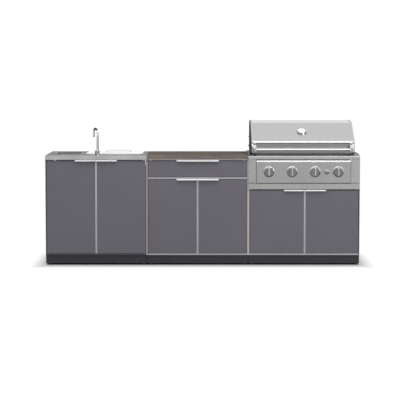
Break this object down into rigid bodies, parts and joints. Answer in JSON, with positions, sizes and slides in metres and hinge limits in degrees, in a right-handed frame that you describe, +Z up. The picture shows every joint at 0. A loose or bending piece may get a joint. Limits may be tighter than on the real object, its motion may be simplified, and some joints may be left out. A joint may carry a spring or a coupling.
{
  "type": "outdoor kitchen",
  "caption": "Straight run of outdoor kitchen cabinets with sink and ice bin, a drawer under a stone worktop, and a built-in gas grill with a lifting hood.",
  "frame": {"origin": "on the floor under the centre of the outer box, with all doors, the drawer and the hood closed", "axes": "+X along the row from the sink to the grill, -Y the side with the doors and knobs, +Z up"},
  "size_m": [2.5186, 0.654, 1.1501],
  "materials": {
    "slate_paint": "satin",
    "frame_aluminium": "satin",
    "cabinet_aluminium": "satin",
    "plinth_paint": "satin",
    "foot_plastic": "matt",
    "pull_metal": "satin",
    "stainless": "brushed",
    "counter_board": "matt",
    "counter_stone": "honed",
    "tap_chrome": "polished",
    "lid_plastic": "satin",
    "knob_metal": "satin",
    "button_metal": "satin",
    "cap_casting": "satin",
    "gas_brass": "satin",
    "grate_iron": "matt",
    "gauge_metal": "brushed",
    "fixing_steel": "plain"
  },
  "bodies": {
    "carcass": {"back_panels": "cabinet_aluminium", "burners": "stainless", "control_panel": "stainless", "cooking_grates": "grate_iron", "drawer_runners": "fixing_steel", "drip_tray": "stainless", "firebox": "stainless", "flame_tamers": "stainless", "floor_panels": "frame_aluminium", "gas_manifold": "gas_brass", "grill_deck": "stainless", "grill_front_frame": "stainless", "hinge_pins": "fixing_steel", "ice_bin": "stainless", "joining_bolts": "fixing_steel", "knob_bezels": "knob_metal", "levelling_feet": "foot_plastic", "middle_counter": "counter_stone", "shelf": "cabinet_aluminium", "side_panels": "cabinet_aluminium", "sink_bowl": "stainless", "sink_counter": "stainless", "sink_counter_core": "counter_board", "sink_drain": "fixing_steel", "skirts": "plinth_paint", "stretcher_rails": "frame_aluminium", "tap_body": "tap_chrome", "warming_rack": "fixing_steel"},
    "sink_left_door_body": {"sink_left_door": "slate_paint", "sink_left_pull": "pull_metal"},
    "sink_right_door_body": {"sink_right_door": "slate_paint", "sink_right_pull": "pull_metal"},
    "middle_left_door_body": {"middle_left_door": "slate_paint", "middle_left_pull": "pull_metal"},
    "middle_right_door_body": {"middle_right_door": "slate_paint", "middle_right_pull": "pull_metal"},
    "grill_left_door_body": {"grill_left_door": "slate_paint", "grill_left_pull": "pull_metal"},
    "grill_right_door_body": {"grill_right_door": "slate_paint", "grill_right_pull": "pull_metal"},
    "drawer": {"drawer_box": "cabinet_aluminium", "drawer_front": "slate_paint", "drawer_pull": "pull_metal"},
    "hood": {"hood_skin": "stainless", "hood_end_caps": "cap_casting", "hood_handle": "stainless", "thermometer": "gauge_metal"},
    "stem_1": {"valve_stem_1": "fixing_steel"},
    "knob_body_1": {"knob_1": "knob_metal"},
    "stem_2": {"valve_stem_2": "fixing_steel"},
    "knob_body_2": {"knob_2": "knob_metal"},
    "stem_3": {"valve_stem_3": "fixing_steel"},
    "knob_body_3": {"knob_3": "knob_metal"},
    "stem_4": {"valve_stem_4": "fixing_steel"},
    "knob_body_4": {"knob_4": "knob_metal"},
    "igniter": {"igniter_button": "button_metal"},
    "spout": {"tap_spout": "tap_chrome"},
    "lever": {"tap_lever": "tap_chrome"},
    "lid": {"bin_lid": "lid_plastic", "lid_handle": "lid_plastic"}
  },
  "joints": [
    {"name": "sink_left_door_swing", "type": "hinge", "parent": "carcass", "child": "sink_left_door_body", "pos_m": [-1.23625, -0.263, 0.3], "axis": [0, 0, -1], "range_deg": [0, 90]},
    {"name": "sink_right_door_swing", "type": "hinge", "parent": "carcass", "child": "sink_right_door_body", "pos_m": [-0.46975, -0.263, 0.3], "axis": [0, 0, 1], "range_deg": [0, 90]},
    {"name": "middle_left_door_swing", "type": "hinge", "parent": "carcass", "child": "middle_left_door_body", "pos_m": [-0.42325, -0.263, 0.3], "axis": [0, 0, -1], "range_deg": [0, 90]},
    {"name": "middle_right_door_swing", "type": "hinge", "parent": "carcass", "child": "middle_right_door_body", "pos_m": [0.34325, -0.263, 0.3], "axis": [0, 0, 1], "range_deg": [0, 90]},
    {"name": "grill_left_door_swing", "type": "hinge", "parent": "carcass", "child": "grill_left_door_body", "pos_m": [0.38975, -0.263, 0.3], "axis": [0, 0, -1], "range_deg": [0, 90]},
    {"name": "grill_right_door_swing", "type": "hinge", "parent": "carcass", "child": "grill_right_door_body", "pos_m": [1.23625, -0.263, 0.3], "axis": [0, 0, 1], "range_deg": [0, 90]},
    {"name": "drawer_pull_out", "type": "slide", "parent": "carcass", "child": "drawer", "axis": [0, -1, 0], "range_m": [0, 0.4]},
    {"name": "hood_lift", "type": "hinge", "parent": "carcass", "child": "hood", "pos_m": [0.808, 0.289, 0.932], "axis": [-1, 0, 0], "range_deg": [0, 80]},
    {"name": "knob_1_push", "type": "slide", "parent": "carcass", "child": "stem_1", "axis": [0, 1, 0], "range_m": [0, 0.004], "stiffness_N_per_m": 800},
    {"name": "knob_1_turn", "type": "hinge", "parent": "stem_1", "child": "knob_body_1", "pos_m": [0.5305, -0.3, 0.751], "axis": [0, -1, 0], "range_deg": [0, 225]},
    {"name": "knob_2_push", "type": "slide", "parent": "carcass", "child": "stem_2", "axis": [0, 1, 0], "range_m": [0, 0.004], "stiffness_N_per_m": 800},
    {"name": "knob_2_turn", "type": "hinge", "parent": "stem_2", "child": "knob_body_2", "pos_m": [0.7155, -0.3, 0.751], "axis": [0, -1, 0], "range_deg": [0, 225]},
    {"name": "knob_3_push", "type": "slide", "parent": "carcass", "child": "stem_3", "axis": [0, 1, 0], "range_m": [0, 0.004], "stiffness_N_per_m": 800},
    {"name": "knob_3_turn", "type": "hinge", "parent": "stem_3", "child": "knob_body_3", "pos_m": [0.9005, -0.3, 0.751], "axis": [0, -1, 0], "range_deg": [0, 225]},
    {"name": "knob_4_push", "type": "slide", "parent": "carcass", "child": "stem_4", "axis": [0, 1, 0], "range_m": [0, 0.004], "stiffness_N_per_m": 800},
    {"name": "knob_4_turn", "type": "hinge", "parent": "stem_4", "child": "knob_body_4", "pos_m": [1.0855, -0.3, 0.751], "axis": [0, -1, 0], "range_deg": [0, 225]},
    {"name": "igniter_press", "type": "slide", "parent": "carcass", "child": "igniter", "axis": [0, 1, 0], "range_m": [0, 0.003], "stiffness_N_per_m": 400},
    {"name": "spout_swivel", "type": "hinge", "parent": "carcass", "child": "spout", "pos_m": [-0.845, -0.218, 0.914], "axis": [0, 0, 1], "range_deg": [-150, 150]},
    {"name": "lever_turn", "type": "hinge", "parent": "carcass", "child": "lever", "pos_m": [-0.845, -0.185, 0.904], "axis": [0, 1, 0], "range_deg": [0, 90]},
    {"name": "lid_lift", "type": "slide", "parent": "carcass", "child": "lid", "axis": [0, 0, 1], "range_m": [0, 0.12]}
  ]
}
